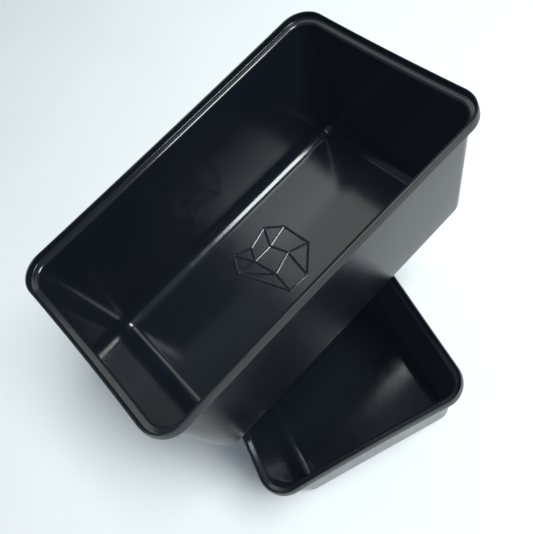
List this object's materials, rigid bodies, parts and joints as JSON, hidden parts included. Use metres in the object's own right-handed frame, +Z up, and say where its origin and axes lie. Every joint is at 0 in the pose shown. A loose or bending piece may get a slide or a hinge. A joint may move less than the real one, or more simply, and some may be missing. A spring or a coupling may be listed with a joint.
{
  "type": "wash tub set",
  "caption": "Deep rectangular black plastic wash tubs with a stepped rim, one lying crosswise on the other, for catching and cleaning sluice concentrate.",
  "frame": {"origin": "middle of the underside of the lower tub, on the surface it stands on", "axes": "+X along the upper tub's length, +Y across it, +Z up; the lower tub is turned 72 degrees about +Z"},
  "size_m": [0.513, 0.5628, 0.4273],
  "materials": {
    "upper_tub_plastic": "black, glossy and smooth inside, haircell grain outside",
    "lower_tub_plastic": "black, glossy and smooth inside, haircell grain outside"
  },
  "bodies": {
    "lower_tub": {"lower_tub": "lower_tub_plastic"},
    "upper_tub": {"upper_tub": "upper_tub_plastic"}
  },
  "joints": [
    {"name": "upper_tub_lift", "type": "slide", "parent": "lower_tub", "child": "upper_tub", "axis": [0, 0, 1], "range_m": [0, 0.3]}
  ]
}
